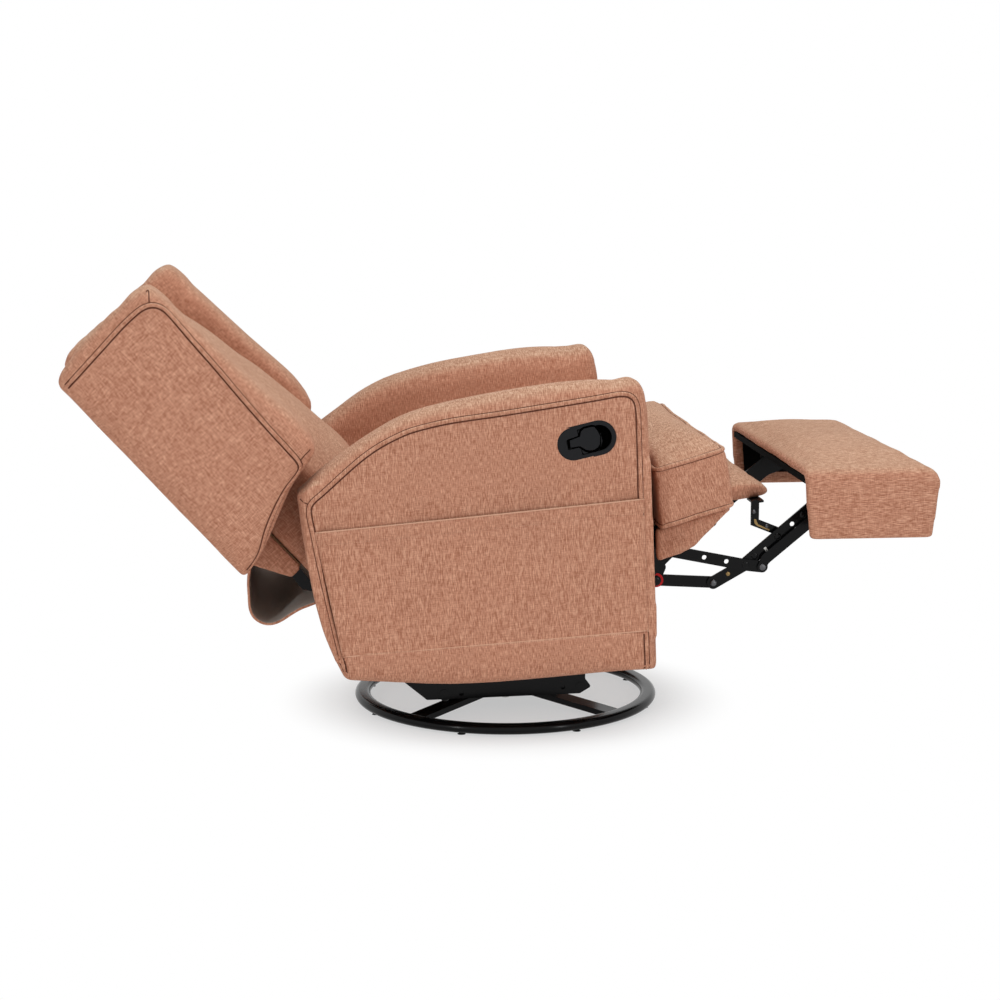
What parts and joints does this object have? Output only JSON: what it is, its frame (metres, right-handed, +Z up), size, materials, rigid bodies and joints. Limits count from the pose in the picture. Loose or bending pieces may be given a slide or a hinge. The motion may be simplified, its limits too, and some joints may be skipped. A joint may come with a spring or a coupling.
{
  "type": "swivel_glider_recliner",
  "caption": "Swivel glider recliner with padded arms and wings, a T-shaped seat cushion, a folding footrest, side pockets and a round steel base.",
  "frame": {"origin": "On the floor, on the axis that the chair swivels about.", "axes": "+X points to the front of the chair, +Y to the sitter's left and +Z up. At rest the chair faces +X, fully reclined with the footrest out."},
  "size_m": [1.6083, 0.7523, 0.8315],
  "materials": {
    "upholstery": "slubby woven terracotta cloth over foam",
    "black_steel": "glossy black enamel",
    "black_plastic": "moulded, fine grain",
    "red_plastic": "moulded bushings",
    "zinc_steel": "zinc plated",
    "frame_wood": "plain softwood"
  },
  "bodies": {
    "base": {"base_ring": "black_steel", "floor_pads": "black_plastic", "hub_plate": "black_steel", "king_bolt": "zinc_steel", "lower_race": "zinc_steel", "bearing_balls": "zinc_steel"},
    "turntable": {"upper_race": "zinc_steel", "turntable_plate": "black_steel", "cradle_side_plates": "black_steel", "cradle_cross_bars": "black_steel"},
    "glide_rear": {"glide_links_rear": "black_steel"},
    "glide_front": {"glide_links_front": "black_steel"},
    "carriage": {"glide_hangers": "black_steel", "body_cross_tubes": "black_steel", "recliner_side_plates": "black_steel", "arm_right": "upholstery", "arm_left": "upholstery", "pocket_right": "upholstery", "pocket_left": "upholstery", "rear_panel": "upholstery", "handle_bezel": "black_plastic"},
    "lever": {"pull_lever": "black_plastic"},
    "seat_link_front": {"seat_links_front": "black_steel"},
    "seat_link_rear": {"seat_links_rear": "black_steel"},
    "seat": {"seat_side_plates": "black_steel", "seat_pins": "zinc_steel", "seat_frame": "frame_wood", "seat_springs": "zinc_steel", "seat_cushion": "upholstery", "seat_apron": "upholstery"},
    "back": {"back_brackets": "black_steel", "back_frame": "frame_wood", "back_springs": "zinc_steel", "back_outer_panel": "upholstery", "back_cushion": "upholstery", "head_roll": "upholstery", "wing_right": "upholstery", "wing_left": "upholstery"},
    "footrest_upper_link": {"footrest_upper_links": "black_steel"},
    "footrest_long_link": {"footrest_long_links": "black_steel", "middle_pad_brackets": "black_steel", "middle_pad": "upholstery"},
    "footrest_lower_link": {"footrest_lower_links": "black_steel", "torque_tube": "black_steel", "link_bushings": "red_plastic"},
    "footrest_short_link": {"footrest_short_links": "black_steel"},
    "footrest_board": {"footrest_brackets": "black_steel", "footrest_board": "black_steel", "footrest_pad": "upholstery"},
    "curtain_upper": {"curtain_upper": "upholstery"},
    "curtain_lower": {"curtain_lower": "upholstery"}
  },
  "joints": [
    {"name": "swivel", "type": "hinge", "parent": "base", "child": "turntable", "pos_m": [0, 0, 0.05], "axis": [0, 0, 1], "continuous": true},
    {"name": "glide", "type": "hinge", "parent": "turntable", "child": "glide_rear", "pos_m": [-0.135, 0, 0.142], "axis": [0, 1, 0], "range_deg": [-18, 18]},
    {"name": "glide_front", "type": "hinge", "parent": "turntable", "child": "glide_front", "pos_m": [0.127, 0, 0.15], "axis": [0, 1, 0], "range_deg": [-18, 18]},
    {"name": "glide_body", "type": "hinge", "parent": "glide_rear", "child": "carriage", "pos_m": [-0.135, 0, 0.054], "axis": [0, 1, 0], "range_deg": [-18, 18]},
    {"name": "lever", "type": "hinge", "parent": "carriage", "child": "lever", "pos_m": [0.07929, -0.3748, 0.5616], "axis": [0.225, 0, -0.9744], "range_deg": [0, 28], "stiffness_Nm_per_rad": 0.02, "springref_deg": -11.46},
    {"name": "recline", "type": "hinge", "parent": "seat", "child": "back", "pos_m": [-0.2157, 0, 0.1762], "axis": [0, 1, 0], "range_deg": [0, 18]},
    {"name": "seat_link_front", "type": "hinge", "parent": "carriage", "child": "seat_link_front", "pos_m": [0.09294, 0, 0.20214], "axis": [0, 1, 0], "range_deg": [-12.18, 0]},
    {"name": "seat_tilt", "type": "hinge", "parent": "seat_link_front", "child": "seat", "pos_m": [0.15, 0, 0.262], "axis": [0, 1, 0], "range_deg": [0, 18.18]},
    {"name": "seat_link_rear", "type": "hinge", "parent": "carriage", "child": "seat_link_rear", "pos_m": [-0.1224, 0, 0.2655], "axis": [0, 1, 0], "range_deg": [0, 29.49]},
    {"name": "footrest", "type": "hinge", "parent": "seat", "child": "footrest_upper_link", "pos_m": [0.27914, 0, 0.34], "axis": [0, 1, 0], "range_deg": [0, 91.91]},
    {"name": "footrest_long_link", "type": "hinge", "parent": "footrest_upper_link", "child": "footrest_long_link", "pos_m": [0.431, 0, 0.309], "axis": [0, 1, 0], "range_deg": [-108.52, 0]},
    {"name": "footrest_board", "type": "hinge", "parent": "footrest_long_link", "child": "footrest_board", "pos_m": [0.575, 0, 0.432], "axis": [0, 1, 0], "range_deg": [0, 100.61]},
    {"name": "footrest_lower_link", "type": "hinge", "parent": "seat", "child": "footrest_lower_link", "pos_m": [0.22399, 0, 0.284], "axis": [0, 1, 0], "range_deg": [0, 97.73]},
    {"name": "footrest_short_link", "type": "hinge", "parent": "footrest_upper_link", "child": "footrest_short_link", "pos_m": [0.463, 0, 0.305], "axis": [0, 1, 0], "range_deg": [-108.47, 0]},
    {"name": "curtain_top", "type": "hinge", "parent": "back", "child": "curtain_upper", "pos_m": [-0.49664, 0, 0.32641], "axis": [0, 1, 0], "range_deg": [0, 1.58]},
    {"name": "curtain_fold", "type": "hinge", "parent": "curtain_upper", "child": "curtain_lower", "pos_m": [-0.487, 0, 0.212], "axis": [0, 1, 0], "range_deg": [0, 53.84]}
  ],
  "couplings": [
    {"joint": "glide_front", "follows": "glide", "ratio": 1},
    {"joint": "glide_body", "follows": "glide", "ratio": -1},
    {"joint": "seat_link_front", "follows": "recline", "ratio": -0.67628},
    {"joint": "seat_tilt", "follows": "recline", "ratio": 1.0096},
    {"joint": "seat_link_rear", "follows": "recline", "ratio": 1.6377},
    {"joint": "footrest_long_link", "follows": "footrest", "ratio": -1.1806},
    {"joint": "footrest_board", "follows": "footrest", "ratio": 1.0946},
    {"joint": "footrest_lower_link", "follows": "footrest", "ratio": 1.0633},
    {"joint": "footrest_short_link", "follows": "footrest", "ratio": -1.1801},
    {"joint": "curtain_top", "follows": "recline", "ratio": 0.0871},
    {"joint": "curtain_fold", "follows": "recline", "ratio": 2.9908}
  ]
}
